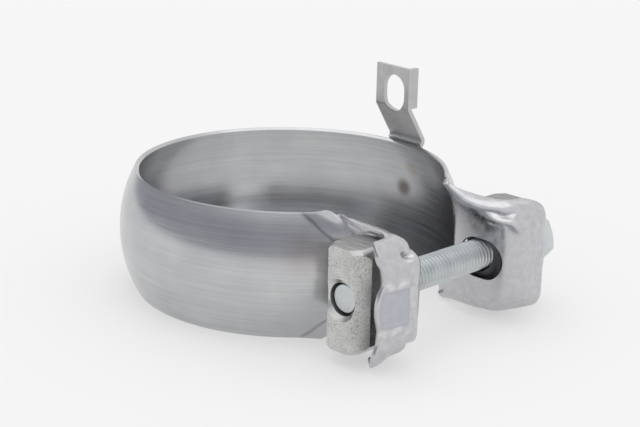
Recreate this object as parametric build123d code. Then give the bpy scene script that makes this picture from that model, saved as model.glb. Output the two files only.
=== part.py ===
from build123d import *
import os
from math import acos, asin, atan2, cos, degrees, dist, hypot, radians, sin, sqrt, tan

# Exhaust pipe clamp: a barrel-shaped sheet band whose two ends are formed into
# pocket ears, two D-section blocks in the ears, one long bolt through both,
# and a slotted locating tab welded to the outside of the band.
# Millimetres. The ring's axis is Z and the bolt's axis is parallel to Y, at +X.

# Band
sheet = 1.5                  # thickness of the band's sheet
ring_radius = 55.8           # middle of the sheet, half way up the band
rim_lean = 5.1               # how far the rims curve in from there
rim_height = 19.7            # rim above the mid-plane

# Bolt
bolt_radius = 5.0
bolt_stand_off = 5.8         # bolt axis outside the ring's middle radius
hex_across_flats = 16.0
hex_height = 8.5
hex_turn = 12.0              # of one corner of the hexagon, from +X round the bolt's axis
flange_radius = 10.9
flange_thickness = 2.0
flange_rise = 1.8            # height of the cone between flange and hexagon
crown_radius = 7.6           # flat of the head's end inside its chamfer
tip_chamfer = 0.8
tip_recess = 2.3             # tip of the bolt behind the near block's face

# Blocks
face_distance = 39.6         # outer face of each block from the mid-plane
block_depth = 17.8
block_half_width = 8.0
block_half_height = 16.0
facet_depth = 4.8            # the two flats beside the outer face
facet_width = 3.2
end_chamfer = 1.2            # broken edge where a facet meets a sawn end
back_chamfer = 2.6           # broken edge where the round back meets a sawn end
sink_depth = 1.4             # countersink at the near block's outer face
thread_clearance = 0.05      # shank to the near block's bore, radial
far_clearance = 0.6          # shank to the far block's bore, radial

# Ears
seat_gap = 0.3               # block to the sheet that holds it
neck_lead = 7.6              # start of the back plate, before the bolt axis
corner_lead = 11.2           # start of the outer corner, past the bolt axis
neck_bend = 4.0
corner_bend = 5.0
corner_turn = 102.0
lip_length = 11.0            # flat of the pocket's lip after its outer corner
shoulder_gap = 0.9           # block's end to the shoulder over it
shoulder_reach = 4.6         # how far a shoulder covers a block's end
crease_lead = 8.0            # degrees from the plate's corner back to the rim's crease
outer_lead = 3.5             # rim's outer corner past the bolt axis
rim_fall = 0.5
side_cover = 1.0             # how far the rim reaches in over the block's side
side_drop = 2.8
tip_run = 1.0
tip_drop = 4.0
neck_share = 0.35            # how far the neck has turned from ring to ear at its bend
plate_height = 14.8          # top of the back plate's flat, beside the neck
bulge_height = 12.0          # top of the pocket's bulge at its outer corner
plate_step = 0.25            # share of the shoulder's reach that the bulge takes where the plate ends
bulge_step = 0.62            # the same round the outer corner
slot_length = 18.0
slot_height = 13.2
slot_clearance = 0.4         # shank to the slot's inner end

# Locating tab
tab_azimuth = 86.0
tab_thickness = 1.5
tab_width = 16.0
tab_foot_depth = 14.0        # foot below the rim, welded to the band
tab_foot_gap = 0.15
tab_flare = 1.1              # the foot's top turns out by this much
tab_flare_rise = 0.7
tab_slant_rise = 12.9
tab_slant_lean = 7.9
tab_plate_height = 13.9
tab_flange = 2.9             # folded side of the plate
tab_slot_width = 10.0
tab_slot_length = 12.7
tab_slot_from_top = 2.9
tab_slot_shift = 0.9         # slot's centre, towards the folded side
tab_bend = 1.8               # radius of the tab's bends, middle of the sheet

# Fineness of the band's surface
half_rows = 11
ring_step = 6.0
stretch_samples = 30
ear_step = 0.9
smoothing = 8
thinning = 2
fit_tolerance = 0.05

# Worked out from the sizes above
bolt_x = ring_radius + bolt_stand_off
plate_y = face_distance - block_depth - seat_gap - sheet / 2
shoulder_z = block_half_height + shoulder_gap + sheet / 2
slot_x = bolt_x + slot_length / 2 - bolt_radius - slot_clearance
rim_radius = ring_radius - rim_lean
barrel_radius = (rim_height**2 + rim_lean**2) / (2 * rim_lean)
barrel_angle = asin(rim_height / barrel_radius)


def polar(radius, angle):
    return (radius * cos(radians(angle)), radius * sin(radians(angle)))


def mix(a, b, share):
    return tuple(p + (q - p) * share for p, q in zip(a, b))


def ease(value):
    """Smooth step from 0 to 1."""
    value = min(max(value, 0.0), 1.0)
    return value * value * (3 - 2 * value)


def leave_angle():
    """Azimuth at which the neck leaves the ring as its tangent."""
    corner = (bolt_x - neck_lead, plate_y)
    reach = hypot(*corner)
    return degrees(atan2(corner[1], corner[0]) + acos(ring_radius / reach))


def ear_rails():
    """Plan lines of an ear, half way up it and along its rim, in five matching stretches."""
    leave = leave_angle()
    neck = (bolt_x - neck_lead, plate_y)
    tangent = corner_bend * tan(radians(corner_turn / 2))
    corner = (bolt_x + corner_lead + tangent, plate_y)
    lip = tangent + lip_length
    mouth = (corner[0] + lip * cos(radians(corner_turn)), corner[1] + lip * sin(radians(corner_turn)))
    middle = FilletPolyline(polar(ring_radius, leave), neck, corner, mouth, radius=(neck_bend, corner_bend))
    crease_angle = degrees(atan2(neck[1], neck[0])) + crease_lead
    crease = polar(rim_radius, crease_angle)
    rim_y = plate_y + shoulder_reach
    knee = (neck[0], rim_y)
    outer = (bolt_x + outer_lead, rim_y + rim_fall)
    side = (bolt_x + block_half_width - side_cover, outer[1] + side_drop)
    tip = (side[0] + tip_run, side[1] + tip_drop)
    arc = CenterArc((0, 0), rim_radius, leave, crease_angle - leave)
    rim = [arc, Line(crease, knee), Line(knee, outer), Line(outer, side), Line(side, tip)]
    return middle.edges(), [line.edge() for line in rim]


def ring_profile(share):
    """Inward share and height of the ring's barrel section, from its middle to its rim."""
    angle = barrel_angle * share
    return barrel_radius * (1 - cos(angle)) / rim_lean, barrel_radius * sin(angle)


def spline_value(points, share):
    """A clamped cubic spline's value at a share of its length, by repeated blending."""
    degree = 3
    spans = len(points) - degree
    knots = [0] * degree + [i / spans for i in range(spans + 1)] + [1] * degree
    span = min(int(share * spans), spans - 1) + degree
    work = [points[span - degree + i] for i in range(degree + 1)]
    for level in range(1, degree + 1):
        for i in range(degree, level - 1, -1):
            low = knots[span - degree + i]
            high = knots[span + 1 + i - level]
            work[i] = mix(work[i - 1], work[i], (share - low) / (high - low))
    return work[degree]


def ear_profile(share, step):
    """Share of the way in to the rim, and height, of an ear's section."""
    top = plate_height + (bulge_height - plate_height) * step / bulge_step
    controls = (
        (0, 0),
        (0, top / 3),
        (0, top * 2 / 3),
        (0, top),
        (step, top),
        (step, shoulder_z),
        (1, shoulder_z),
    )
    return spline_value(controls, share)


def grid_column(middle, rim, ear_share, step):
    """Points of the band's middle surface over one place of its plan, from the lower rim to the upper."""
    column = []
    for row in range(-half_rows, half_rows + 1):
        share = abs(row) / half_rows
        blend = mix(ring_profile(share), ear_profile(share, step), ear_share)
        x, y = mix(middle, rim, blend[0])
        column.append((x, y, blend[1] if row > 0 else -blend[1]))
    return column


def ring_columns():
    """Columns of the ring, from its back round to the neck of one ear."""
    leave = leave_angle()
    count = round((180 - leave) / ring_step)
    angles = [180 + (leave - 180) * i / count for i in range(count)]
    return [grid_column(polar(ring_radius, angle), polar(rim_radius, angle), 0, 0) for angle in angles]


def ear_columns():
    """Columns of one ear, from the ring to its mouth, rounded and evenly spaced."""
    ear_shares = (0, neck_share, 1, 1, 1, 1)
    steps = (0, 0, 0, plate_step, bulge_step, bulge_step)
    columns = []
    for stretch, (middle, rim) in enumerate(zip(*ear_rails())):
        for i in range(stretch_samples + 1):
            along = i / stretch_samples
            share = between(ear_shares[stretch : stretch + 2], along)
            step = between(steps[stretch : stretch + 2], along)
            inside, edge = middle @ along, rim @ along
            columns.append(grid_column((inside.X, inside.Y), (edge.X, edge.Y), share, step))
    return smooth(evenly(columns, ear_step))[::thinning]


def between(ends, along):
    """A value that eases from one end to the other."""
    return ends[0] + (ends[1] - ends[0]) * ease(along)


def evenly(columns, spacing):
    """The same surface by columns at an even spacing, measured on the mean of their rows."""
    travel = [0.0]
    for before, after in zip(columns, columns[1:]):
        gaps = [dist(p, q) for p, q in zip(before, after)]
        travel.append(travel[-1] + sum(gaps) / len(gaps))
    count = thinning * round(travel[-1] / spacing / thinning)
    even, index = [], 0
    for i in range(count + 1):
        target = travel[-1] * i / count
        while index < len(travel) - 2 and travel[index + 1] < target:
            index += 1
        share = (target - travel[index]) / max(travel[index + 1] - travel[index], 1e-9)
        even.append([mix(p, q, share) for p, q in zip(columns[index], columns[index + 1])])
    return even


def smooth(columns):
    """Round the creases by averaging neighbouring columns."""
    for _ in range(smoothing):
        rounded = list(columns)
        for i in range(1, len(columns) - 1):
            rounded[i] = [tuple((a + 2 * b + c) / 4 for a, b, c in zip(p, q, r))
                          for p, q, r in zip(columns[i - 1], columns[i], columns[i + 1])]
        columns = rounded
    return columns


def shifted(columns, distance):
    """The grid moved by a distance along its own normals."""
    grid = []
    last, top = len(columns) - 1, len(columns[0]) - 1
    for i, column in enumerate(columns):
        moved = []
        for j, point in enumerate(column):
            along = Vector(columns[min(i + 1, last)][j]) - Vector(columns[max(i - 1, 0)][j])
            up = Vector(column[min(j + 1, top)]) - Vector(column[max(j - 1, 0)])
            moved.append(Vector(point) + along.cross(up).normalized() * distance)
        grid.append(moved)
    return grid


def edge_near(face, point):
    return min(face.edges(), key=lambda edge: (edge @ 0.5 - point).length)


def sheet_solid(columns):
    """A closed sheet of the band's thickness around a grid of points."""
    outer = Face.make_surface_from_array_of_points(shifted(columns, sheet / 2), tol=fit_tolerance, min_deg=3)
    inner = Face.make_surface_from_array_of_points(shifted(columns, -sheet / 2), tol=fit_tolerance, min_deg=3)
    sides = []
    for edge in outer.edges():
        partner = edge_near(inner, edge @ 0.5)
        sides.append(Face.make_surface_from_curves(edge, partner))
    return Solid(Shell([outer, inner, *sides]))


def slot_cutter(across, height, centre_x, low_y, high_y):
    """A slot along X that cuts from one Y to another."""
    return Pos(centre_x, low_y, 0) * Rot(-90, 0, 0) * extrude(SlotOverall(across, height), high_y - low_y)


def make_band():
    half = ring_columns() + ear_columns()
    other = [[(x, -y, z) for x, y, z in column] for column in half]
    band = sheet_solid(list(reversed(other)) + half[1:])
    slot = slot_cutter(slot_length, slot_height, slot_x, plate_y - 2 * sheet, plate_y + 2 * sheet)
    return band - slot - mirror(slot, about=Plane.XZ)


def block_outline():
    """Plan of a block: a flat outer face with a facet beside each end, and a round back."""
    face, facet = face_distance, face_distance - facet_depth
    shoulder = face_distance - block_depth + block_half_width
    flat = block_half_width - facet_width
    side = block_half_width
    front = Polyline((-side, shoulder), (-side, facet), (-flat, face), (flat, face), (side, facet), (side, shoulder))
    back = RadiusArc((side, shoulder), (-side, shoulder), block_half_width)
    return Pos(bolt_x, 0) * make_face(front.edges() + back.edges())


def make_block(bore_radius):
    """A block on the +Y side, bored for the bolt, with the facets broken at its sawn ends."""
    block = Pos(0, 0, -block_half_height) * extrude(block_outline(), 2 * block_half_height)
    ends = block.edges().filter_by(lambda edge: abs(abs(edge.center().Z) - block_half_height) < 0.01)
    facets = ends.filter_by(lambda edge: face_distance - facet_depth < edge.center().Y < face_distance - 0.1)
    block = chamfer(facets, end_chamfer)
    block = chamfer(block.edges().filter_by(GeomType.CIRCLE), back_chamfer)
    bore = Cylinder(bore_radius, 2 * face_distance, rotation=(90, 0, 0))
    return block - Pos(bolt_x, face_distance, 0) * bore


def make_near_block():
    """The threaded block, with a countersink that leads the bolt's tip out of it."""
    block = make_block(bolt_radius + thread_clearance)
    mouth = bolt_radius + thread_clearance + sink_depth
    sink = Cone(mouth - sink_depth, mouth, sink_depth, rotation=(-90, 0, 0))
    return mirror(block - Pos(bolt_x, face_distance - sink_depth / 2, 0) * sink, about=Plane.XZ)


def make_bolt():
    """A flanged hexagon bolt, seated on the far block and threaded to its tip."""
    tip = -face_distance + tip_recess
    length = face_distance - tip
    shank = Cylinder(bolt_radius, length, align=(Align.CENTER, Align.CENTER, Align.MIN))
    shank = chamfer(shank.edges().sort_by(Axis.Z)[0], tip_chamfer)
    flange = Cylinder(flange_radius, flange_thickness, align=(Align.CENTER, Align.CENTER, Align.MIN))
    corner = hex_across_flats / sqrt(3)
    rise = Cone(flange_radius, corner, flange_rise, align=(Align.CENTER, Align.CENTER, Align.MIN))
    height = flange_rise + hex_height
    hexagon = extrude(RegularPolygon(corner, 6, rotation=hex_turn), height)
    crown = Cone(crown_radius + height * sqrt(3), crown_radius, height, align=(Align.CENTER, Align.CENTER, Align.MIN))
    head = flange + Pos(0, 0, flange_thickness) * (rise + (hexagon & crown))
    return Pos(bolt_x, tip, 0) * Rot(-90, 0, 0) * (shank + Pos(0, 0, length) * head)


def tab_side_line():
    """Side view of the tab above the rim: flare, slant and upright plate, as radius and height."""
    reach = barrel_radius + sheet / 2 + tab_foot_gap + tab_thickness / 2
    rim = (ring_radius - barrel_radius + reach * cos(barrel_angle), reach * sin(barrel_angle))
    flare = (rim[0] + tab_flare, rim[1] + tab_flare_rise)
    bend = (flare[0] - tab_slant_lean, flare[1] + tab_slant_rise)
    return reach, rim, flare, bend


def make_tab():
    """The welded strip: a curved foot on the band, then a bent, slotted plate with one folded side."""
    reach, rim, flare, bend = tab_side_line()
    low_angle = asin((rim_height - tab_foot_depth) / barrel_radius)
    centre = ring_radius - barrel_radius
    arc = CenterArc((centre, 0), reach, degrees(low_angle), degrees(barrel_angle - low_angle))
    span = degrees(tab_width / (ring_radius + sheet))
    foot = revolve(Plane.XZ * trace(arc, tab_thickness), Axis.Z, span)
    foot = Rot(0, 0, -span / 2) * foot
    top = bend[1] + tab_plate_height
    start = Vector(*rim) - Vector(tab_flare, tab_flare_rise).normalized() * tab_thickness / 2
    line = FilletPolyline((start.X, start.Y), flare, bend, (bend[0], top), radius=tab_bend)
    strip = extrude(Plane.XZ * trace(line, tab_thickness), tab_width / 2, both=True)
    side = Box(tab_flange + tab_thickness, tab_thickness, tab_plate_height, align=(Align.MIN, Align.MIN, Align.MAX))
    side = Pos(bend[0] - tab_thickness / 2, -tab_width / 2, top) * side
    slot_centre = top - tab_slot_from_top - tab_slot_length / 2
    slot = extrude(SlotOverall(tab_slot_length, tab_slot_width), 2 * tab_slant_lean, both=True)
    slot = Pos(bend[0], -tab_slot_shift, slot_centre) * Rot(0, 90, 0) * slot
    return Rot(0, 0, tab_azimuth) * (foot + (strip + side - slot))


os.makedirs("parts", exist_ok=True)
pieces = {
    "band": make_band(),
    "near_block": make_near_block(),
    "far_block": make_block(bolt_radius + far_clearance),
    "bolt": make_bolt(),
    "locating_tab": make_tab(),
}
for name, piece in pieces.items():
    export_step(piece, f"parts/{name}.step")
    print(name, round(piece.volume, 1), piece.is_valid)
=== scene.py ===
# %% [markdown]
# # Exhaust pipe clamp
# A band of stainless sheet wraps the bulged ends of two exhaust pipes. Its ends are pressed into two pocket
# ears, each ear holds a D-section block, and one long bolt draws the blocks together. A slotted tab is welded
# to the outside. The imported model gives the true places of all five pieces, so it is loaded first and
# everything else is fitted to it.

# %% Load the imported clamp
from math import acos, asin, atan2, cos, degrees, hypot, pi, radians, sin, sqrt, tan

import bmesh
import bpy
import numpy as np
from mathutils import Matrix, Vector, noise


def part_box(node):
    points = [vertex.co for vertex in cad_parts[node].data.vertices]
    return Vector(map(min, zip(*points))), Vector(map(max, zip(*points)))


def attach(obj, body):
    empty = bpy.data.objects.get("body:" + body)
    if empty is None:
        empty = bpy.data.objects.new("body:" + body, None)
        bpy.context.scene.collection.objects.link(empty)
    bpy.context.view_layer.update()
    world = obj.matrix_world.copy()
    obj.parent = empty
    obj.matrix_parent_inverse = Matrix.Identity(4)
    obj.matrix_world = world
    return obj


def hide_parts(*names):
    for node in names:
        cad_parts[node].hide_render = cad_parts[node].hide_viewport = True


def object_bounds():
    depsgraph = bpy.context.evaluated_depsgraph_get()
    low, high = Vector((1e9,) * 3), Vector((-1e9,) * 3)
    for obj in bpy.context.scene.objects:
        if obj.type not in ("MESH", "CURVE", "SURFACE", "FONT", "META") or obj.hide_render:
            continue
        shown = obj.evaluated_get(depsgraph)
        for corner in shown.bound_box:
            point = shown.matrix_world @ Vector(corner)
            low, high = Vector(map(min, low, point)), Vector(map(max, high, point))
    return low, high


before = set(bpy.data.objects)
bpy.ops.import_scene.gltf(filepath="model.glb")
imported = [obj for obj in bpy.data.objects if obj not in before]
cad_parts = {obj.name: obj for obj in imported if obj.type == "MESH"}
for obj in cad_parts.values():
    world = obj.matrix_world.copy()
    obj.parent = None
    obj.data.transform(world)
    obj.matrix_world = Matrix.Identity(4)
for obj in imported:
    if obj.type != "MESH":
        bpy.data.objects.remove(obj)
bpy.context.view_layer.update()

MM = 0.001
print("pieces:", sorted(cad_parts))

# %% [markdown]
# ## Small helpers
# Sizes below are in millimetres and angles in degrees, because that is how sheet, thread and blocks are
# measured in the workshop. Blender's meshes are in metres, so one helper makes every mesh piece and does that
# change in one place. Another turns a piece's live modifiers into plain mesh, so that its mesh is exactly
# what is seen, and one more closes a mesh and turns its faces outward.

# %% Mesh helpers
def add_object(name, data):
    """A new object in the scene."""
    item = bpy.data.objects.new(name, data)
    bpy.context.scene.collection.objects.link(item)
    return item


def mesh_piece(name, points, faces):
    """A new mesh object from points in millimetres."""
    mesh = bpy.data.meshes.new(name)
    mesh.from_pydata((np.asarray(points, float) * MM).tolist(), [], faces)
    return add_object(name, mesh)


def bake_modifiers(piece):
    """Replaces the mesh by what its modifiers make of it."""
    depsgraph = bpy.context.evaluated_depsgraph_get()
    piece.data = bpy.data.meshes.new_from_object(piece.evaluated_get(depsgraph))
    piece.modifiers.clear()


def close_up(piece):
    """Fills the mesh's holes and turns every face outward."""
    form = bmesh.new()
    form.from_mesh(piece.data)
    bmesh.ops.holes_fill(form, edges=[e for e in form.edges if e.is_boundary])
    bmesh.ops.recalc_face_normals(form, faces=form.faces)
    form.to_mesh(piece.data)
    form.free()


def shade(piece, angle):
    """Smooth shading, apart from edges sharper than an angle."""
    piece.data.shade_smooth()
    piece.data.set_sharp_from_angle(angle=radians(angle))


def grid_faces(columns, rows, closed=False):
    """Quads between the points of a grid that is stored column by column."""
    faces = []
    for c in range(columns if closed else columns - 1):
        after = (c + 1) % columns
        for r in range(rows - 1):
            faces.append((c * rows + r, after * rows + r, after * rows + r + 1, c * rows + r + 1))
    return faces


# %% [markdown]
# ## Colours and nodes
# A colour is written as it would be picked from a colour chart, in sRGB, and one function makes it linear.
# Another adds a node with its settings and links. The ones built on it give a ramp, a sum, a change of range,
# a mix, or noise of a real size, which keeps each material short enough to read.

# %% Material helpers
def linear(hex_colour):
    """An sRGB colour such as B0AEA8 as linear red, green, blue and alpha."""
    channels = [int(hex_colour[i:i + 2], 16) / 255 for i in (0, 2, 4)]
    return [c / 12.92 if c <= 0.04045 else ((c + 0.055) / 1.055) ** 2.4 for c in channels] + [1.0]


def new_material(name):
    """A material without nodes, and its node tree."""
    material = bpy.data.materials.new(name)
    material.use_nodes = True
    material.node_tree.nodes.clear()
    return material, material.node_tree


def add_node(tree, kind, inputs=(), **settings):
    """A node of a kind, with its settings, and inputs given as values or as sockets to link."""
    node = tree.nodes.new(kind)
    for key, value in settings.items():
        setattr(node, key, value)
    for key, value in dict(inputs).items():
        if isinstance(value, bpy.types.NodeSocket):
            tree.links.new(value, node.inputs[key])
        else:
            node.inputs[key].default_value = value
    return node


def add_ramp(tree, factor, stops):
    """A colour ramp with its stops as pairs of place and sRGB colour."""
    ramp = add_node(tree, "ShaderNodeValToRGB", {"Fac": factor})
    elements = ramp.color_ramp.elements
    while len(elements) < len(stops):
        elements.new(0.5)
    for element, (place, colour) in zip(elements, stops):
        element.position = place
        element.color = linear(colour)
    return ramp.outputs["Color"]


def calculate(tree, operation, *values):
    """The result of one Math node."""
    return add_node(tree, "ShaderNodeMath", dict(enumerate(values)), operation=operation).outputs[0]


def rescale(tree, value, low, high, to_low=0.0, to_high=1.0, kind="LINEAR"):
    """A value carried over from one range to another, and held inside it."""
    return add_node(tree, "ShaderNodeMapRange", {
        "Value": value, "From Min": low, "From Max": high, "To Min": to_low, "To Max": to_high},
        interpolation_type=kind).outputs[0]


def blend(tree, share, first, second, data_type, sockets, output):
    """A Mix node between two values or two colours, each given as it is, as sRGB text or as a socket."""
    node = add_node(tree, "ShaderNodeMix", data_type=data_type)
    for index, value in zip(sockets, (share, first, second)):
        if isinstance(value, bpy.types.NodeSocket):
            tree.links.new(value, node.inputs[index])
        else:
            node.inputs[index].default_value = linear(value) if isinstance(value, str) else value
    return node.outputs[output]


def blend_values(tree, share, first, second):
    return blend(tree, share, first, second, "FLOAT", (0, 2, 3), 0)


def blend_colours(tree, share, first, second):
    return blend(tree, share, first, second, "RGBA", (0, 6, 7), 2)


def object_place(tree):
    return add_node(tree, "ShaderNodeTexCoord").outputs["Object"]


def object_noise(tree, size, detail=3.0, roughness=0.55, stretch=(1, 1, 1)):
    """Noise in Object coordinates with lumps of about a size in millimetres."""
    scaled = add_node(tree, "ShaderNodeMapping", {"Vector": object_place(tree), "Scale": stretch})
    return add_node(tree, "ShaderNodeTexNoise", {
        "Vector": scaled.outputs[0], "Scale": 1 / (size * MM), "Detail": detail,
        "Roughness": roughness}).outputs["Fac"]


def streak_noise(tree, place, sizes, turn=0.0):
    """Noise in long streaks, with a size along each axis after a turn about Z."""
    turned = add_node(tree, "ShaderNodeMapping", {
        "Vector": place, "Rotation": (0, 0, radians(turn)), "Scale": [1 / (size * MM) for size in sizes]})
    return add_node(tree, "ShaderNodeTexNoise", {
        "Vector": turned.outputs[0], "Scale": 1.0, "Detail": 4.0, "Roughness": 0.6}).outputs["Fac"]


def finish_material(tree, colour, roughness, height, strength, depth):
    """A metal with a colour, a roughness, and relief from a height of a depth in millimetres."""
    relief = add_node(tree, "ShaderNodeBump", {
        "Height": height, "Strength": strength, "Distance": depth * MM})
    shader = add_node(tree, "ShaderNodeBsdfPrincipled", {
        "Base Color": colour, "Roughness": roughness, "Metallic": 1.0, "Normal": relief.outputs[0]})
    add_node(tree, "ShaderNodeOutputMaterial", {"Surface": shader.outputs["BSDF"]})


# %% [markdown]
# ## The band's shape
# The band is one strip of 1.5 mm sheet. Its ring is a barrel, so that it wedges the pipe ends together, and
# its ends are pressed round the blocks. A grid suits such a sheet: columns run round the clamp and rows run
# from rim to rim. Two lines seen from above, one half way up and one along the rim, place each column, and a
# section tells how a column bends from the first line to the second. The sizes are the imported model's.

# %% Sizes of the band
sheet = 1.5            # thickness
ring_radius = 55.8     # middle of the sheet, half way up
rim_lean = 5.1         # rim inside the waist
rim_height = 19.7      # rim above the waist
bolt_x = 61.6          # the bolt's axis
plate_y = 20.75        # an ear's plate, from the mid-plane
neck_lead = 7.6        # the plate's start, before the bolt's axis
corner_lead = 11.2     # the plate's end, past the bolt's axis
neck_bend = 4.0
corner_bend = 5.0
corner_turn = 102.0    # from the plate to the lip
lip_length = 11.0
shoulder_z = 17.65     # level sheet over a block's end
shoulder_reach = 4.6   # rim outside the plate
crease_lead = 8.0      # angle from the plate's start back to the rim's crease
outer_lead = 3.5       # the rim's outer corner, past the bolt's axis
rim_fall = 0.5         # that corner outside the rest of the shoulder's rim
side_in = 7.0          # the rim's turn to the lip, past the bolt's axis
side_drop = 2.8        # and outside that corner
tip_run = 1.0          # from there to the lip's tip
tip_drop = 4.0
neck_share = 0.35      # how far the neck has turned at its bend
plate_height = 14.8    # top of the plate's flat, beside the neck
bulge_height = 12.0    # top of the pocket's bulge, at its outer corner
plate_step = 0.25      # share of the shoulder's reach that the bulge takes where the plate ends
bulge_step = 0.62      # the same round the outer corner
lip_step = 0.12        # the same at the lip's end
rim_radius = ring_radius - rim_lean
barrel_radius = (rim_height**2 + rim_lean**2) / (2 * rim_lean)
barrel_angle = asin(rim_height / barrel_radius)
lip_direction = np.array([cos(radians(corner_turn)), sin(radians(corner_turn))])


# %% Lines of the band seen from above
def straight(start, end, samples):
    return np.linspace(start, end, samples)


def bend(before, corner, after, radius, samples):
    """The arc that rounds a corner."""
    before, corner, after = map(np.asarray, (before, corner, after))
    arrive = (corner - before) / np.linalg.norm(corner - before)
    leave = (after - corner) / np.linalg.norm(after - corner)
    side = np.sign(arrive[0] * leave[1] - arrive[1] * leave[0])
    turn = acos(np.clip(arrive @ leave, -1, 1))
    start = corner - arrive * radius * tan(turn / 2)
    across = np.array([-arrive[1], arrive[0]]) * side
    angles = np.linspace(0, turn, samples)[:, None]
    return start + arrive * radius * np.sin(angles) + across * radius * (1 - np.cos(angles))


def polar(radius, angle):
    return np.stack([radius * np.cos(np.radians(angle)), radius * np.sin(np.radians(angle))], axis=-1)


def ear_lines(samples):
    """The line half way up an ear and the line along its rim, in five matching stretches."""
    neck = np.array([bolt_x - neck_lead, plate_y])
    leave = degrees(atan2(neck[1], neck[0]) + acos(ring_radius / hypot(*neck)))
    tangent = corner_bend * tan(radians(corner_turn / 2))
    corner = np.array([bolt_x + corner_lead + tangent, plate_y])
    mouth = corner + (tangent + lip_length) * lip_direction
    start = polar(ring_radius, leave)
    neck_arc = bend(start, neck, corner, neck_bend, samples)
    corner_arc = bend(neck, corner, mouth, corner_bend, samples)
    middle = [straight(start, neck_arc[0], samples), neck_arc, straight(neck_arc[-1], corner_arc[0], samples),
              corner_arc, straight(corner_arc[-1], mouth, samples)]
    crease_angle = degrees(atan2(neck[1], neck[0])) + crease_lead
    rim_y = plate_y + shoulder_reach
    knee = np.array([neck[0], rim_y])
    outer = np.array([bolt_x + outer_lead, rim_y + rim_fall])
    side = np.array([bolt_x + side_in, outer[1] + side_drop])
    tip = side + [tip_run, tip_drop]
    crease = polar(rim_radius, crease_angle)
    rim = [polar(rim_radius, np.linspace(leave, crease_angle, samples)), straight(crease, knee, samples),
           straight(knee, outer, samples), straight(outer, side, samples), straight(side, tip, samples)]
    return leave, np.concatenate(middle), np.concatenate(rim)


# %% [markdown]
# ## The band's section
# On the ring the section is a plain arc. On an ear it is a smooth line that runs straight up the plate, steps
# in over the bulge and lies level over the block's end. A cubic spline with seven controls holds it, and an
# ease between the two sections makes the neck. Columns are then spaced evenly and averaged with their
# neighbours, which rounds the creases as a press does. The far ear is rounded more, along the columns too.

# %% Sections and columns
def spline_weights(shares, count):
    """How much each of a clamped cubic spline's controls counts at each share of its length."""
    degree = 3
    knots = np.r_[np.zeros(degree), np.linspace(0, 1, count - degree + 1), np.ones(degree)]
    weights = np.zeros((len(shares), len(knots) - 1))
    spans = np.clip(np.searchsorted(knots, shares, side="right") - 1, degree, count - 1)
    weights[np.arange(len(shares)), spans] = 1
    for level in range(1, degree + 1):
        for i in range(len(knots) - level - 1):
            rise, fall = knots[i + level] - knots[i], knots[i + level + 1] - knots[i + 1]
            up = (shares - knots[i]) / rise * weights[:, i] if rise else 0
            down = (knots[i + level + 1] - shares) / fall * weights[:, i + 1] if fall else 0
            weights[:, i] = up + down
    return weights[:, :count]


def ease(value):
    return value * value * (3 - 2 * value)


half_rows = 36
controls = 7
row_share = np.linspace(0, 1, half_rows + 1)
row_weights = spline_weights(row_share, controls)
ring_in = barrel_radius * (1 - np.cos(barrel_angle * row_share)) / rim_lean
ring_up = barrel_radius * np.sin(barrel_angle * row_share)


def grid_columns(middle, rim, ear_share, step):
    """Points of the sheet's middle over each place in plan, from the lower rim to the upper."""
    top = plate_height + (bulge_height - plate_height) * step / bulge_step
    nothing, whole, shoulder = 0 * step, 0 * step + 1, 0 * step + shoulder_z
    ear_in = np.stack([nothing, nothing, nothing, nothing, step, step, whole], 1) @ row_weights.T
    ear_up = np.stack([nothing, top / 3, top * 2 / 3, top, top, shoulder, shoulder], 1) @ row_weights.T
    ear_part = ear_share[:, None]
    inward = ring_in * (1 - ear_part) + ear_in * ear_part
    height = ring_up * (1 - ear_part) + ear_up * ear_part
    plan = middle[:, None] + (rim - middle)[:, None] * inward[..., None]
    upper = np.concatenate([plan, height[..., None]], axis=2)
    lower = upper[:, :0:-1] * [1, 1, -1]
    return np.concatenate([lower, upper], axis=1)


def evenly(columns, spacing):
    """The same surface by columns at an even spacing."""
    gaps = np.linalg.norm(np.diff(columns, axis=0), axis=2).mean(axis=1)
    travel = np.r_[0, np.cumsum(gaps)]
    wanted = np.linspace(0, travel[-1], round(travel[-1] / spacing) + 1)
    place = np.interp(wanted, travel, np.arange(len(travel)))
    index = np.minimum(place.astype(int), len(columns) - 2)
    share = (place - index)[:, None, None]
    return columns[index] * (1 - share) + columns[index + 1] * share


def smooth(columns, passes):
    """Rounds creases by averaging each column with its neighbours a number of times."""
    for _ in range(passes):
        averaged = columns.copy()
        averaged[1:-1] = (columns[:-2] + 2 * columns[1:-1] + columns[2:]) / 4
        columns = averaged
    return columns


def rounded(columns, width):
    """Smoothed over a width, as each pass adds half of the squared spacing to the square of the width."""
    return smooth(columns, round(2 * (width / ear_spacing) ** 2))


def in_stretches(pairs):
    """Values that ease from the first to the second of each pair, one stretch after another."""
    along = ease(np.linspace(0, 1, samples))
    return np.concatenate([start + (end - start) * along for start, end in pairs])


ear_spacing = 0.55
ring_spacing = 1.0     # degrees
fine_ring = 10         # degrees of the ring, beside an ear, that have the ear's spacing
ring_back = 180
samples = 80
leave, middle, rim = ear_lines(samples)
ear_share = in_stretches(((0, neck_share), (neck_share, 1), (1, 1), (1, 1), (1, 1)))
step = in_stretches(((0, 0), (0, 0), (0, plate_step), (plate_step, bulge_step), (bulge_step, lip_step)))
sharp_ear = evenly(grid_columns(middle, rim, ear_share, step), ear_spacing)
coarse_columns = round((ring_back - fine_ring - leave) / ring_spacing)
fine_columns = round(fine_ring * radians(ring_radius) / ear_spacing)
ring_angles = np.concatenate([
    np.linspace(ring_back, leave + fine_ring, coarse_columns, endpoint=False),
    np.linspace(leave + fine_ring, leave, fine_columns, endpoint=False)])
nothing = np.zeros(len(ring_angles))
ring = grid_columns(polar(ring_radius, ring_angles), polar(rim_radius, ring_angles), nothing, nothing)

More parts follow.
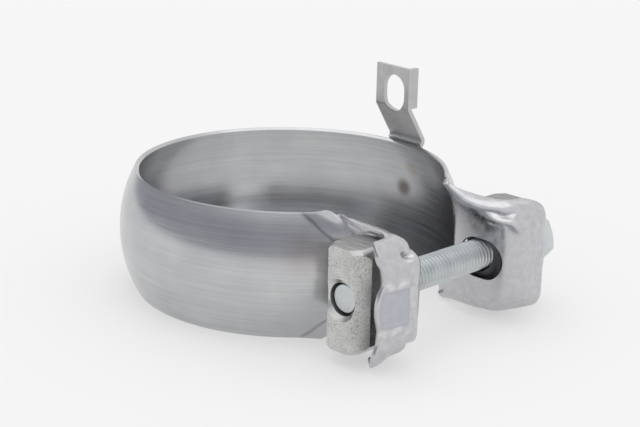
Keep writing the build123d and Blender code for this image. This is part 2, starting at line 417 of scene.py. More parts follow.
near_rounding, far_rounding = 1.8, 3.0
far_row_passes = 12
far_row_run = 8        # over which the smoothing of the far ear's rows sets in
near_ear = rounded(sharp_ear, near_rounding)
far_ear = rounded(sharp_ear, far_rounding)
soft_rows = smooth(far_ear.swapaxes(0, 1), far_row_passes).swapaxes(0, 1)
far_share = ease(np.clip(np.arange(len(far_ear)) * ear_spacing / far_row_run, 0, 1))[:, None, None]
far_ear = far_ear * (1 - far_share) + soft_rows * far_share
print("columns of the ring and of an ear:", len(ring), len(sharp_ear))

# %% [markdown]
# ## What the press left
# No two ears are alike. The near ear's lip has a wavy cut edge, a flat that the forming tool printed, with a
# raised border and a fold above it, and a tight pleat at the corner. The far ear has one long pleat under its
# shoulder and shallow wrinkles round its corner. On both, a flat with a slanting edge joins ring and ear.
# Each mark is a small push along the sheet's own normal, with a soft outline, so the sheet keeps its
# thickness. A mark's place is how far it is from the lip's cut edge and how high above the waist.

# %% Pleats, prints and the wavy edge
def normals(columns):
    """Unit normals of the grid, which point into the ring."""
    around = np.gradient(columns, axis=0)
    upward = np.gradient(columns, axis=1)
    cross = np.cross(around, upward)
    return cross / np.linalg.norm(cross, axis=2, keepdims=True)


def soft_box(value, low, high, soften):
    """1 between two limits, easing to 0 outside them."""
    rise = np.clip((value - low) / soften + 0.5, 0, 1)
    fall = np.clip((high - value) / soften + 0.5, 0, 1)
    return ease(rise) * ease(fall)


def hump(value, centre, width):
    """A bell that is 1 at its centre."""
    return np.exp(-((value - centre) / width) ** 2)


def crumple(columns, size, seed):
    """Even, repeatable unevenness between about -1 and 1, with lumps of a size in millimetres."""
    flat = columns.reshape(-1, 3) / size
    values = [noise.fractal((x + seed, y, z), 1.0, 2.0, 2) for x, y, z in flat]
    return np.array(values).reshape(columns.shape[:2])


def past_line(u, v, start, end):
    """Distance past a line drawn through two points, on its left."""
    du, dv = end[0] - start[0], end[1] - start[1]
    return ((v - start[1]) * du - (u - start[0]) * dv) / hypot(du, dv)


def wavy_edge(columns, to_edge, heights, out):
    """Moves the lip's cut edge out by a few distances given up its height."""
    on_lip = np.clip(1 - to_edge / lip_length, 0, 1)
    wave = np.interp(columns[..., 2], heights, out)
    columns[..., :2] += (on_lip * wave)[..., None] * lip_direction


def print_border(to_edge, height):
    """The raised rim that was squeezed up round the printed flat."""
    above = hump(height, 6.9 + 0.5 * np.sin(0.9 * to_edge), 0.7)
    below = hump(height, -7.2 + 0.4 * np.cos(0.8 * to_edge), 0.8)
    beside = hump(to_edge, 12.9 + 0.3 * np.sin(height), 0.7) * soft_box(height, -8, 8, 3)
    return (above + below) * soft_box(to_edge, 0, 12, 3) + 0.7 * beside


def printed(to_edge, height):
    """1 on the flat that the forming tool printed."""
    return soft_box(to_edge, 1.2, 11.6, 1.6) * soft_box(height, -5.8, 5.4, 1.4)


def near_marks(to_edge, height):
    """The printed flat, its border, a fold and the tight pleat at the corner of the near ear."""
    mark = printed(to_edge, height)
    border = print_border(to_edge, height)
    upper_fold = hump(height, 9.6 + 0.12 * to_edge, 0.7) * soft_box(to_edge, 2, 9, 4)
    pleat = hump(to_edge, 13.6, 1.5) * hump(height, 13.6, 1.0)
    lip = hump(to_edge, 13.6, 2.2) * hump(height, 11.9, 0.7)
    tuck = hump(to_edge, 12, 4) * hump(height, -14.2, 0.9)
    return -0.5 * mark + 0.28 * border + 0.25 * upper_fold - 1.7 * pleat + 0.4 * lip - 0.4 * tuck


def far_marks(to_edge, height):
    """The long pleat under the far ear's shoulder, and the wrinkles round its corner."""
    eye = soft_box(to_edge, 13, 23, 7)
    pleat = eye * hump(height, 15.2, 0.4 + 0.9 * eye)
    lip = eye * hump(height, 13.0, 0.8)
    wrinkles = np.sin(1.25 * to_edge + 0.8 * np.sin(0.5 * height)) * soft_box(to_edge, 0, 12, 4)
    wrinkles *= soft_box(np.abs(height), -12, 12, 6)
    stripe = hump(to_edge, 12.5, 1.2) * soft_box(np.abs(height), -9, 9, 6)
    return -1.5 * pleat + 0.35 * lip + 0.22 * wrinkles + 0.3 * stripe


def creased(to_neck, height, slope):
    """The flat that the press laid between ring and ear, out past a sharp slanting line."""
    past = past_line(-to_neck, np.abs(height), *crease_line)
    return -slope * np.clip(past, 0, crease_reach) * soft_box(-to_neck, -9, 9, 7)


def pressed(columns, ear):
    """Half the band, with the marks that forming left on its ear."""
    columns = columns.copy()
    height = columns[..., 2]
    travel = np.r_[0, np.cumsum(np.linalg.norm(np.diff(columns[:, half_rows], axis=0), axis=1))]
    to_edge = (travel[-1] - travel)[:, None] + 0 * height
    to_neck = to_edge - ear_length
    wavy_edge(columns, to_edge, edge_heights, ear["edge"])
    push = ear["uneven"] * crumple(columns, uneven_size, ear["seed"]) * soft_box(to_edge, -5, 30, 8)
    push += ear["marks"](to_edge, height)
    push += creased(to_neck, height, ear["crease"])
    at_rim = soft_box(np.abs(height), 17.0, 30, 2) * soft_box(-to_neck, 8, 15, 4)
    ragged = ear["burr"] * crumple(columns, burr_size, burr_seed) * at_rim
    moved = columns + normals(columns) * (push + ragged)[..., None]
    moved[..., 2] += ragged * np.sign(height)
    return moved


crease_line = ((-4.6, 19.7), (5.2, 12.5))   # each point as a distance past the neck's start and a height
crease_reach = 6.5
uneven_size = 9.0
burr_size, burr_seed = 2.2, 5.0
edge_heights = (-17, -13, -10, -6, -2, 2, 5, 8, 12, 15, 18)
near_look = dict(
    marks=near_marks, uneven=0.22, seed=3.0, burr=0.35, crease=0.13,
    edge=(2.2, 1.6, 0.4, 0.2, 1.2, 1.2, 0.4, -0.9, -0.3, 1.0, 1.8))
far_look = dict(
    marks=far_marks, uneven=0.14, seed=11.0, burr=0.15, crease=0.06,
    edge=(0.6, 0.2, -0.4, 0.0, 0.6, 0.3, -0.3, -0.6, 0.1, 0.4, 0.6))
ear_length = np.linalg.norm(np.diff(sharp_ear[:, half_rows], axis=0), axis=1).sum()
near_half = pressed(np.concatenate([ring, near_ear]), near_look) * [1, -1, 1]
far_half = pressed(np.concatenate([ring, far_ear]), far_look)
strip = np.concatenate([near_half[::-1], far_half[1:]])
print("band grid:", strip.shape)

# %% [markdown]
# ## The band as a sheet
# Solidify gives the grid its 1.5 mm, half to each side, and a Bevel eases the cut edges. The slots for the
# bolt are cut after that by a boolean, so their edges stay sharp. A UV map holds how far each point lies
# along the strip and up it. Four attributes hold how strongly it was formed, creased, printed and worn, and
# the material reads them all.

# %% Make the band
bolt_radius = 5.0
slot_length, slot_height = 17.0, 13.0       # 1.0 and 0.2 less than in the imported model
slot_clearance = 0.4                        # shank to the slot's inner end
slot_x = bolt_x + slot_length / 2 - bolt_radius - slot_clearance
slot_points = 25                            # on each of its round ends
cutter_reach = 3                            # of a slot's cutter, to each side of the plate
edge_easing, edge_steps = 0.3, 2
edge_turn, smooth_turn = 60, 35             # edges sharper than these are eased, or shaded sharp
crease_width = 0.45
formed_start, formed_run = 3, 9             # past the place where the neck leaves the ring


def slot_cutter(name, side):
    """A rounded slot's prism through one ear's plate."""
    angles = np.radians(np.linspace(-90, 90, slot_points))
    reach = (slot_length - slot_height) / 2
    right = np.stack([reach + slot_height / 2 * np.cos(angles), slot_height / 2 * np.sin(angles)], 1)
    outline = np.concatenate([right, -right])
    count = len(outline)
    ends = plate_y - cutter_reach, plate_y + cutter_reach
    points = [(slot_x + x, side * y, z) for y in ends for x, z in outline]
    faces = [tuple(range(count)), tuple(range(2 * count - 1, count - 1, -1))]
    faces += [(i, i + count, (i + 1) % count + count, (i + 1) % count) for i in range(count)]
    cutter = mesh_piece(name, points, faces)
    close_up(cutter)
    return cutter


def strip_coordinates(columns):
    """Distance along the strip and up it, in metres, for each point."""
    around = np.r_[0, np.cumsum(np.linalg.norm(np.diff(columns[:, half_rows], axis=0), axis=1))]
    upward = np.cumsum(np.linalg.norm(np.diff(columns, axis=1, prepend=columns[:, :1]), axis=2), axis=1)
    return np.stack([around[:, None] + 0 * upward, upward], axis=2) * MM


def make_band():
    rows = 2 * half_rows + 1
    band = mesh_piece("band_sheet", strip.reshape(-1, 3), grid_faces(len(strip), rows))
    mesh = band.data
    places = strip_coordinates(strip).reshape(-1, 2)
    layer = mesh.uv_layers.new(name="strip")
    corners = np.zeros(len(mesh.loops), int)
    mesh.loops.foreach_get("vertex_index", corners)
    layer.data.foreach_set("uv", places[corners].ravel())
    length = places[:, 0].max()
    to_end = np.minimum(places[:, 0], length - places[:, 0]) / MM
    heights = strip[..., 2].ravel()
    on_near_ear = (strip[..., 1].ravel() < 0).astype(float)
    past_leave = ear_length - to_end
    off_crease = past_line(past_leave, np.abs(heights), *crease_line)
    marks = {
        "formed": ease(np.clip((past_leave - formed_start) / formed_run, 0, 1)),
        "creased": hump(off_crease, 0, crease_width) * soft_box(past_leave, -4, 7, 3),
        "printed": printed(to_end, heights) * on_near_ear,
        "worn": print_border(to_end, heights) * on_near_ear}
    for mark, values in marks.items():
        mesh.attributes.new(mark, "FLOAT", "POINT").data.foreach_set("value", values)
    thick = band.modifiers.new("thickness", "SOLIDIFY")
    thick.thickness = sheet * MM
    thick.offset = 0
    eased = band.modifiers.new("eased edges", "BEVEL")
    eased.width = edge_easing * MM
    eased.segments = edge_steps
    eased.limit_method = "ANGLE"
    eased.angle_limit = radians(edge_turn)
    cutters = [slot_cutter("near_slot", -1), slot_cutter("far_slot", 1)]
    for cutter in cutters:
        cut = band.modifiers.new("slot", "BOOLEAN")
        cut.object = cutter
        cut.operation = "DIFFERENCE"
        cut.solver = "EXACT"
    bake_modifiers(band)
    for cutter in cutters:
        bpy.data.objects.remove(cutter)
    shade(band, smooth_turn)
    return band


band = make_band()
print("band:", len(band.data.polygons), "faces")
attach(band, "band")
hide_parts("band")

# %% [markdown]
# ## The bolt's thread
# The thread is a metric one, 10 mm across with a 1.5 mm pitch, and right-handed. It follows a rule, so
# Geometry Nodes make it: a flat grid is rolled round the bolt's axis, and each point's radius comes from
# where it lies between two crests. The ridge climbs by one pitch a turn, because the angle is taken off
# before the fraction is found.

# %% Thread by Geometry Nodes
pitch = 1.5
thread_depth = 0.92
crest_share = 0.2      # of the pitch, flat at the crest
root_share = 0.12      # of the flank, flat at the root
merge_distance = 1e-6  # metres
turn_points = 56
points_per_pitch = 8
tip_y = -37.3
tip_radius = 4.2
shank_end_y = 39.6     # where the flange seats on the far block
thread_turn = 34       # edges sharper than this are shaded sharp


def thread_tree(material):
    """Rolls a grid into a threaded shank along Y, with named inputs for its sizes."""
    tree = bpy.data.node_groups.new("threaded shank", "GeometryNodeTree")
    tree.interface.new_socket("Geometry", in_out="OUTPUT", socket_type="NodeSocketGeometry")
    for name in ("Pitch", "Crest radius", "Depth", "Length", "Chamfer"):
        tree.interface.new_socket(name, in_out="INPUT", socket_type="NodeSocketFloat")
    for name in ("Points round", "Points along"):
        tree.interface.new_socket(name, in_out="INPUT", socket_type="NodeSocketInt")
    given = add_node(tree, "NodeGroupInput").outputs

    def math(operation, *values):
        return calculate(tree, operation, *values)

    grid = add_node(tree, "GeometryNodeMeshGrid", {
        "Size X": 1.0, "Size Y": 1.0, "Vertices X": given["Points round"],
        "Vertices Y": given["Points along"]})
    position = add_node(tree, "GeometryNodeInputPosition").outputs[0]
    place = add_node(tree, "ShaderNodeSeparateXYZ", {0: position})
    turn = math("ADD", place.outputs["X"], 0.5)
    travel = math("MULTIPLY", math("ADD", place.outputs["Y"], 0.5), given["Length"])
    phase = math("FRACT", math("SUBTRACT", math("DIVIDE", travel, given["Pitch"]), turn))
    valley = math("ABSOLUTE", math("SUBTRACT", math("MULTIPLY", phase, 2.0), 1.0))
    flank = math("MINIMUM", math("DIVIDE", valley, 1.0 - crest_share), 1.0)
    ridge = rescale(tree, flank, root_share, 1.0)
    root = math("SUBTRACT", given["Crest radius"], given["Depth"])
    radius = math("ADD", root, math("MULTIPLY", ridge, given["Depth"]))
    cone = math("ADD", math("SUBTRACT", given["Crest radius"], given["Chamfer"]), travel)
    radius = math("MINIMUM", radius, cone)
    angle = math("MULTIPLY", turn, 2 * pi)
    spot = add_node(tree, "ShaderNodeCombineXYZ", {
        "X": math("MULTIPLY", radius, math("SINE", angle)), "Y": travel,
        "Z": math("MULTIPLY", radius, math("COSINE", angle))})
    rolled = add_node(tree, "GeometryNodeSetPosition", {
        "Geometry": grid.outputs["Mesh"], "Position": spot.outputs[0]})
    joined = add_node(tree, "GeometryNodeMergeByDistance", {
        "Geometry": rolled.outputs[0], "Distance": merge_distance})
    dressed = add_node(tree, "GeometryNodeSetMaterial", {"Geometry": joined.outputs[0], "Material": material})
    add_node(tree, "NodeGroupOutput", {0: dressed.outputs[0]})
    return tree


# %% [markdown]
# ## Stainless sheet
# The band is stainless sheet with a fine drawn finish that runs round the ring, and it mirrors its
# surroundings softly. Where the press worked it the grain is wiped out and scuffed. The tool's print is
# bluish with a bright, worn border, a thin dark line of painted shade runs along the crease beside the ring,
# and heat left three brownish marks, two of them by the tab's welds. Grain is drawn coarser than real, so
# that it shows.

# %% Satin stainless
grain_width = 0.35
grain_length = 24.0
coarse_length, coarse_width = 3, 4          # of the coarser grain, against the fine one's
scuff_size = 2.4
# the last is how strongly painted shade darkens the line along the crease
print_tint, outline_tint, crease_shade = 0.5, 0.3, 0.6
whole_strip = 1000                          # no streaks across the UV map's empty third axis
# azimuth, height, radius, spread, strength and colour
heat_marks = (
    (89.0, 2.2, 55.0, 4.5, 0.75, "5F4C42"),
    (84.2, 10.5, 53.5, 4.0, 0.5, "A89A88"),
    (-40.0, 8.0, 55.0, 9.0, 0.28, "A88E80"))


def spot_mask(tree, centre, radius):
    """1 round a place, as far as a fifth of a radius, falling to 0 at that radius."""
    away = add_node(tree, "ShaderNodeVectorMath", {
        0: object_place(tree), 1: Vector(centre) * MM}, operation="DISTANCE").outputs["Value"]
    return rescale(tree, away, radius * 0.2 * MM, radius * MM, 1.0, 0.0, "SMOOTHSTEP")


def on_ring(azimuth, height, radius):
    """A point by its azimuth, its height and its distance from the ring's axis."""
    x, y = polar(radius, azimuth)
    return (float(x), float(y), height)


def make_satin_stainless():
    material, tree = new_material("satin stainless sheet")
    formed, print_mark, worn, crease = (
        add_node(tree, "ShaderNodeAttribute", attribute_name=name).outputs["Fac"]
        for name in ("formed", "printed", "worn", "creased"))
    place = add_node(tree, "ShaderNodeUVMap", uv_map="strip").outputs[0]
    fine_grain = streak_noise(tree, place, (grain_length, grain_width, whole_strip))
    coarse_grain = streak_noise(
        tree, place, (coarse_length * grain_length, coarse_width * grain_width, whole_strip))
    grain = blend_values(tree, 0.5, fine_grain, coarse_grain)
    cloud = object_noise(tree, 16.0)
    scuff = object_noise(tree, scuff_size, detail=1.5, roughness=0.5)

    steel = add_ramp(tree, cloud, ((0.3, "C1C2C4"), (0.7, "D0D0D0")))
    streaked = blend_colours(tree, rescale(tree, grain, 0.35, 0.65, 0.4, 0.0), steel, "96989F")
    worked = add_ramp(tree, scuff, ((0.3, "BEBEC1"), (0.7, "CBCBCE")))
    colour = blend_colours(tree, formed, streaked, worked)
    colour = blend_colours(tree, calculate(tree, "MULTIPLY", print_mark, print_tint), colour, "ACB0BE")
    rubbed = calculate(tree, "MULTIPLY", worn, rescale(tree, scuff, 0.35, 0.65, 0.0, 0.6))
    colour = blend_colours(tree, rubbed, colour, "ECEBE9")
    off_outline = calculate(tree, "ABSOLUTE", calculate(tree, "SUBTRACT", print_mark, 0.5))
    outline = calculate(tree, "MULTIPLY", rescale(tree, off_outline, 0.1, 0.4, outline_tint, 0.0), scuff)
    # the print's outline, and painted shade along the crease beside the ring
    lines = calculate(tree, "MAXIMUM", outline, calculate(tree, "MULTIPLY", crease, crease_shade))
    colour = blend_colours(tree, lines, colour, "5F5A55")
    for azimuth, height, radius, spread, strength, tint in heat_marks:
        mask = spot_mask(tree, on_ring(azimuth, height, radius), spread)
        colour = blend_colours(tree, calculate(tree, "MULTIPLY", mask, strength), colour, tint)

    fine = blend_values(tree, formed, grain, scuff)
    low = blend_values(tree, formed, 0.17, 0.2)
    high = blend_values(tree, formed, 0.27, 0.32)
    finish_material(tree, colour, rescale(tree, fine, 0.3, 0.7, low, high), fine, 0.1, 0.05)
    return material


satin_stainless = make_satin_stainless()
band.data.materials.clear()
band.data.materials.append(satin_stainless)

# %% [markdown]
# ## Zinc-plated steel
# The bolt is plated with zinc, a pale, faintly blue metal with a soft, cloudy sheen. Painted shade darkens
# the sides of its tip, where it stands in the block's bore, and leaves the end face bright. The same plating
# covers the head.

# %% Zinc plating and the threaded shank
# painted shade on the sides of the tip, where the block's bore keeps the light off it
tip_shade_length, tip_shade_fade, tip_shade_strength = 1.2, 1.0, 0.85
bright_edge, tip_shade_edge = -0.15, 0.1        # from the end face's radius


def make_zinc_plate():
    material, tree = new_material("zinc-plated steel")
    cloud = object_noise(tree, 5.0, detail=4.0)
    speck = object_noise(tree, 0.5, detail=2.0)
    plating = add_ramp(tree, cloud, ((0.3, "CDD1D3"), (0.7, "DDE1E2")))
    place = object_place(tree)
    from_bolt = add_node(tree, "ShaderNodeVectorMath", {
        0: place, 1: Vector((bolt_x, 0, 0)) * MM}, operation="SUBTRACT").outputs[0]
    off_axis = add_node(tree, "ShaderNodeVectorMath", {
        0: from_bolt, 1: (1, 0, 1)}, operation="MULTIPLY").outputs[0]
    radius = add_node(tree, "ShaderNodeVectorMath", {0: off_axis}, operation="LENGTH").outputs["Value"]
    # painted shade: dark on the tip's sides inside the bore, none on the end face
    outside = rescale(tree, radius, (tip_radius + bright_edge) * MM, (tip_radius + tip_shade_edge) * MM)
    travel = add_node(tree, "ShaderNodeSeparateXYZ", {0: place}).outputs["Y"]
    fade_start = tip_y + tip_shade_length
    at_tip = rescale(tree, travel, fade_start * MM, (fade_start + tip_shade_fade) * MM, tip_shade_strength, 0.0)
    colour = blend_colours(tree, calculate(tree, "MULTIPLY", outside, at_tip), plating, "2E2E30")
    finish_material(tree, colour, rescale(tree, cloud, 0.3, 0.7, 0.4, 0.52), speck, 0.25, 0.04)
    return material


zinc_plate = make_zinc_plate()


def set_inputs(modifier, values):
    """Sets a Geometry Nodes modifier's inputs, found by name and set by identifier."""
    for item in modifier.node_group.interface.items_tree:
        if item.item_type == "SOCKET" and item.in_out == "INPUT" and item.name in values:
            modifier[item.identifier] = values[item.name]


def make_shank():
    shank = mesh_piece("bolt_shank", [(0, 0, 0)], [])
    modifier = shank.modifiers.new("thread", "NODES")
    modifier.node_group = thread_tree(zinc_plate)
    length = shank_end_y - tip_y
    set_inputs(modifier, {
        "Pitch": pitch * MM, "Crest radius": bolt_radius * MM, "Depth": thread_depth * MM,
        "Length": length * MM, "Chamfer": (bolt_radius - tip_radius) * MM, "Points round": turn_points + 1,
        "Points along": round(length / pitch * points_per_pitch)})
    bake_modifiers(shank)
    close_up(shank)
    shank.data.transform(Matrix.Translation(Vector((bolt_x, tip_y, 0)) * MM))
    shade(shank, thread_turn)
    return shank


shank = make_shank()

# %% [markdown]
# ## The bolt's head
# The head is forged: a round flange that seats on the block, a low cone above it, then the hexagon with its
# chamfered end. One grid makes it all. Its columns go round the axis, and each row has a radius that is
# either the same all round or that of the hexagon in that direction, with the corners slightly rounded.

# %% Flange and hexagon
across_flats, hex_height, hex_turn = 16.0, 8.5, 12.0
flange_radius, flange_thickness, flange_rise, crown_radius = 10.9, 2.0, 1.8, 7.6
head_columns = 180
corner_blunting, corner_sharpness = 0.12, 12
head_turn = 28         # edges sharper than this are shaded sharp


def hexagon_radius(angles):
    """Distance from the axis to the hexagon in each direction, with rounded corners."""
    off = (angles - radians(hex_turn) + pi / 6) % (pi / 3) - pi / 6
    from_flat = pi / 6 - np.abs(off)
    flat = across_flats / 2 / np.cos(from_flat)
    corner = across_flats / 2 / cos(pi / 6) - corner_blunting
    return -np.log(np.exp(-flat * corner_sharpness) + np.exp(-corner * corner_sharpness)) / corner_sharpness


def make_head():
    angles = np.arange(head_columns) * 2 * pi / head_columns
    hexagon = hexagon_radius(angles)
    seat = shank_end_y
    cone_start = seat + flange_thickness
    cone_end = cone_start + flange_rise
    top = cone_end + hex_height
    crown = top - (hexagon - crown_radius) / sqrt(3)
    flange = [(4.0, seat), (flange_radius - 0.4, seat), (flange_radius - 0.1, seat + 0.12),
              (flange_radius, seat + 0.4), (flange_radius, cone_start - 0.5),
              (flange_radius - 0.15, cone_start - 0.15), (flange_radius - 0.5, cone_start + 0.1)]
    sides = [(hexagon + 0.45, cone_end - 0.1), (hexagon + 0.1, cone_end + 0.1), (hexagon, cone_end + 0.45),
             (hexagon, crown - 0.35), (hexagon - 0.06, crown - 0.12), (hexagon - 0.3, crown + 0.12)]
    end = [(crown_radius + 0.2, top - 0.1), (crown_radius - 0.2, top), (crown_radius - 1.4, top - 0.05),
           (crown_radius - 2.4, top - 0.35), (0.4, top - 0.4)]
    rows = flange + sides + end
    points = np.zeros((head_columns, len(rows), 3))
    for r, (radius, height) in enumerate(rows):
        points[:, r, 0] = bolt_x + radius * np.cos(angles)
        points[:, r, 1] = height
        points[:, r, 2] = -radius * np.sin(angles)
    head = mesh_piece("bolt_head", points.reshape(-1, 3), grid_faces(head_columns, len(rows), closed=True))
    close_up(head)
    head.data.materials.append(zinc_plate)
    shade(head, head_turn)
    return head


head = make_head()
for piece in (shank, head):
    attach(piece, "bolt")
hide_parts("bolt")

# %% [markdown]
# ## Blocks and tab
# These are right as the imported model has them, apart from their edges, which tumbling and handling have
# eased. A copy of each node is merged, its flat faces are joined up, and a Bevel modifier rounds what is
# sharp. A block has three materials: pitted steel on the faces that were tumbled, saw marks on its two ends,
# and brighter metal in the bore, on the ends' chamfers and on the eased edges.

# %% Eased copies
flat_turn, round_turn, sharp_turn = 1, 15, 20   # joined up, shaded smooth, and rounded
block_easing, tab_easing = 0.4, 0.12


def eased_copy(node, name, width, materials, edge_material=-1):
    """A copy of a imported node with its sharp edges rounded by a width."""
    piece = add_object(name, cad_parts[node].data.copy())
    piece.data.materials.clear()
    for material in materials:
        piece.data.materials.append(material)
    form = bmesh.new()
    form.from_mesh(piece.data)
    bmesh.ops.remove_doubles(form, verts=form.verts, dist=merge_distance)
    bmesh.ops.dissolve_limit(form, angle_limit=radians(flat_turn), verts=form.verts, edges=form.edges)
    form.to_mesh(piece.data)
    form.free()
    shade(piece, round_turn)
    bevel = piece.modifiers.new("eased edges", "BEVEL")
    bevel.width = width * MM
    bevel.segments = edge_steps
    bevel.limit_method = "ANGLE"
    bevel.angle_limit = radians(sharp_turn)
    bevel.harden_normals = True
    bevel.material = edge_material
    bake_modifiers(piece)
    return piece


pit_size, stain_size = 0.45, 3.0
# where painted shade on a block's back is full, and where it has faded out
shaded_back, unshaded_front = 24, 30              # from the mid-plane, where a block's face is hidden or seen
saw_marks, saw_turn = (12, 0.5, 4), -20


def make_block_steel():
    material, tree = new_material("tumbled plated steel")
    pits = object_noise(tree, pit_size, detail=4.0, roughness=0.7)
    stain = object_noise(tree, stain_size, detail=3.0)
    cloud = object_noise(tree, 8.0)
    pale = add_ramp(tree, cloud, ((0.3, "C9C9C6"), (0.7, "E0E0DD")))
    pitted = add_ramp(tree, pits, ((0.34, "767472"), (0.54, "FFFFFF")))
    multiplied = add_node(tree, "ShaderNodeMix", data_type="RGBA", blend_type="MULTIPLY")
    for socket, value in ((0, rescale(tree, stain, 0.35, 0.65, 0.25, 0.8)), (6, pale), (7, pitted)):
        tree.links.new(value, multiplied.inputs[socket])
    place = add_node(tree, "ShaderNodeSeparateXYZ", {0: object_place(tree)}).outputs
    from_middle = calculate(tree, "ABSOLUTE", place["Y"])
    # painted shade on the block's back, deep in the ear's pocket, which shows dark through the slot
    back = rescale(tree, from_middle, shaded_back * MM, unshaded_front * MM, 1.0, 0.0)
    colour = blend_colours(tree, back, multiplied.outputs[2], "58585A")
    finish_material(tree, colour, rescale(tree, pits, 0.3, 0.7, 0.5, 0.32), pits, 0.55, 0.12)
    return material


def make_sawn_steel():
    material, tree = new_material("sawn steel")
    marks = streak_noise(tree, object_place(tree), saw_marks, saw_turn)
    colour = add_ramp(tree, marks, ((0.32, "707072"), (0.66, "B9B9BA")))
    finish_material(tree, colour, 0.42, marks, 0.6, 0.15)
    return material


def make_bored_steel():
    material, tree = new_material("drilled steel")
    cloud = object_noise(tree, 2.0)
    colour = add_ramp(tree, cloud, ((0.3, "CACAC8"), (0.7, "DADAD8")))
    finish_material(tree, colour, 0.3, cloud, 0.2, 0.05)
    return material


block_steel, sawn_steel, bored_steel = make_block_steel(), make_sawn_steel(), make_bored_steel()
tumbled, sawn_end, bright = 0, 1, 2         # the places of a block's materials
bore_reach, end_chamfer, end_gap = 7.0, 1.4, 0.05   # within which faces count as bored, broken and sawn


def make_block(node, body):
    block = eased_copy(node, node + "_steel", block_easing, (block_steel, sawn_steel, bored_steel), bright)
    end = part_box(node)[1].z - end_gap * MM
    for face in block.data.polygons:
        height, lean = abs(face.center.z), abs(face.normal.z)
        corners = [block.data.vertices[v].co / MM for v in face.vertices]
        reach = max(hypot(corner.x - bolt_x, corner.z) for corner in corners)
        bored = reach < bore_reach and abs(face.normal.y) < 0.95
        broken = 0.3 < lean < 0.9 and height > end - end_chamfer * MM
        if height > end and lean > 0.9:
            face.material_index = sawn_end
        elif bored or broken or face.material_index == bright:
            face.material_index = bright
        else:
            face.material_index = tumbled
    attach(block, body)
    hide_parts(node)
    print(node, len(block.data.polygons), "faces")


make_block("near_block", "near_block")
make_block("far_block", "band")


def make_tab_sheet():
    material, tree = new_material("stainless tab sheet")
    scratch = object_noise(tree, 1.0, detail=4.0, stretch=(1, 1, 0.15))
    cloud = object_noise(tree, 9.0)
    colour = add_ramp(tree, cloud, ((0.3, "B8B8B8"), (0.7, "C6C6C5")))
    finish_material(tree, colour, rescale(tree, scratch, 0.3, 0.7, 0.26, 0.42), scratch, 0.25, 0.05)
    return material


tab = eased_copy("locating_tab", "locating_tab_sheet", tab_easing, (make_tab_sheet(),))
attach(tab, "band")
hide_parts("locating_tab")

# %% [markdown]
# ## Floor, light and camera
# The clamp stands on its lower rim on white paper that has no visible horizon. One broad lamp stands high
# behind it, and a pale world fills the rest. What the metal mirrors is the paper, the bright studio, and a
# darker room behind the camera, which gives the ring its dark and light zones. The background is white by
# the paper's and the world's own colour, for what the camera and the metal see, and never by more light.

# %% Floor and light
camera_azimuth, camera_elevation, camera_roll = 44.84, 17.47, 1.30
floor_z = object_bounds()[0].z
paper_white = "F5F5F5"
room_grey = "ABADB4"
room_azimuth = -55
room_edge = (-0.15, 0.2)                    # cosines to the middle of the room, where it sets in
lamp_edge = (0.42, 0.75)                    # sines of the height at which the room ends
fill_level = 0.92
floor_glow = 0.52                           # share of its own colour in what is seen of the floor
floor_half, floor_gap = 4000, 0.02
lamp_height, lamp_azimuth, lamp_spread, lamp_power = 72, 150, 50, 0.35


def ray_kinds(tree):
    """1 for the camera's own rays, for those from a mirror or through glass, and for either."""
    rays = add_node(tree, "ShaderNodeLightPath").outputs
    seen = rays["Is Camera Ray"]
    mirrored = calculate(tree, "MAXIMUM", rays["Is Glossy Ray"], rays["Is Transmission Ray"])
    return seen, mirrored, calculate(tree, "MAXIMUM", seen, mirrored)


def make_floor():
    corners = [(x * floor_half, y * floor_half, 0) for x, y in ((-1, -1), (1, -1), (1, 1), (-1, 1))]
    floor = mesh_piece("floor", corners, [(0, 1, 2, 3)])
    floor.data.transform(Matrix.Translation((0, 0, floor_z - floor_gap * MM)))
    material, tree = new_material("white paper")
    paper = add_node(tree, "ShaderNodeBsdfPrincipled", {
        "Base Color": linear(paper_white), "Roughness": 1.0, "Specular IOR Level": 0.0})
    glow = add_node(tree, "ShaderNodeEmission", {"Color": linear(paper_white), "Strength": 1.0})
    _, _, either = ray_kinds(tree)
    share = calculate(tree, "MULTIPLY", either, floor_glow)
    mixed = add_node(tree, "ShaderNodeMixShader", {0: share, 1: paper.outputs[0], 2: glow.outputs[0]})
    add_node(tree, "ShaderNodeOutputMaterial", {"Surface": mixed.outputs[0]})
    floor.data.materials.append(material)


def make_sun(name, height, azimuth, spread, power):
    """A far lamp, so that its light doesn't fall off over the floor; its spread makes its shadows soft."""
    light = bpy.data.lights.new(name, "SUN")
    light.angle = radians(spread)
    light.energy = power
    sun = add_object(name, light)
    a, e = radians(azimuth), radians(height)
    place = Vector((cos(a) * cos(e), sin(a) * cos(e), sin(e)))
    sun.rotation_euler = place.to_track_quat("Z", "Y").to_euler()


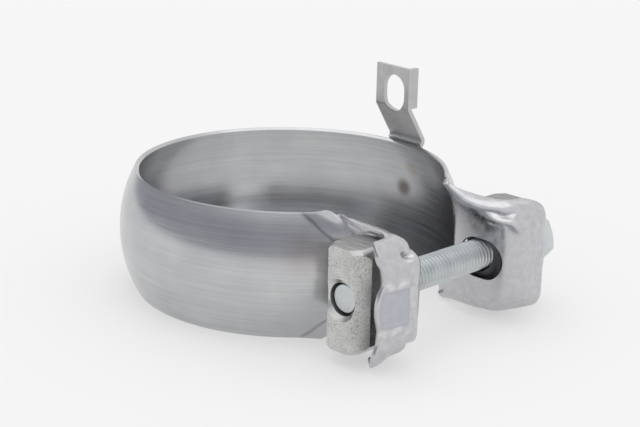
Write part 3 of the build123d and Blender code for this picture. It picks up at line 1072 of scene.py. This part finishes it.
def make_world():
    world = bpy.data.worlds.new("studio")
    bpy.context.scene.world = world
    world.use_nodes = True
    tree = world.node_tree
    tree.nodes.clear()
    seen, mirrored, either = ray_kinds(tree)
    direction = add_node(tree, "ShaderNodeTexCoord").outputs["Generated"]
    a = radians(camera_azimuth + room_azimuth)
    toward = add_node(tree, "ShaderNodeVectorMath", {
        0: direction, 1: (sin(a), -cos(a), 0)}, operation="DOT_PRODUCT").outputs["Value"]
    height = add_node(tree, "ShaderNodeSeparateXYZ", {0: direction}).outputs["Z"]
    in_room = rescale(tree, toward, *room_edge, kind="SMOOTHSTEP")
    below_lamp = rescale(tree, height, *lamp_edge, 1.0, 0.0, "SMOOTHSTEP")
    dark = calculate(tree, "MULTIPLY", in_room, below_lamp)
    studio = blend_colours(tree, dark, paper_white, room_grey)
    lit = blend_colours(tree, mirrored, "FFFFFF", studio)
    colour = blend_colours(tree, seen, lit, paper_white)
    strength = blend_values(tree, either, fill_level, 1.0)
    shader = add_node(tree, "ShaderNodeBackground", {"Color": colour, "Strength": strength})
    add_node(tree, "ShaderNodeOutputWorld", {"Surface": shader.outputs[0]})


make_floor()
make_world()
make_sun("lamp_above", lamp_height, lamp_azimuth, lamp_spread, lamp_power)

# %% Camera
camera_distance, focal_pixels, image_width = 485.83, 1495.32, 640
camera_target = Vector((14.75, -1.16, 7.17)) * MM
sensor_width = 36
clip_near, clip_far = 0.01, 20              # metres


def make_camera():
    data = bpy.data.cameras.new("camera")
    data.sensor_width = sensor_width
    data.lens = focal_pixels / image_width * data.sensor_width
    data.clip_start, data.clip_end = clip_near, clip_far
    camera = add_object("camera", data)
    a, e, roll = radians(camera_azimuth), radians(camera_elevation), radians(camera_roll)
    back = Vector((sin(a) * cos(e), -cos(a) * cos(e), sin(e)))
    right = Vector((cos(a), sin(a), 0))
    up = back.cross(right)
    right, up = right * cos(roll) + up * sin(roll), up * cos(roll) - right * sin(roll)
    camera.matrix_world = Matrix.Translation(camera_target + back * camera_distance * MM) @ Matrix((
        (right.x, up.x, back.x, 0), (right.y, up.y, back.y, 0), (right.z, up.z, back.z, 0), (0, 0, 0, 1)))
    bpy.context.scene.camera = camera


make_camera()
bpy.context.scene.view_settings.view_transform = "Standard"
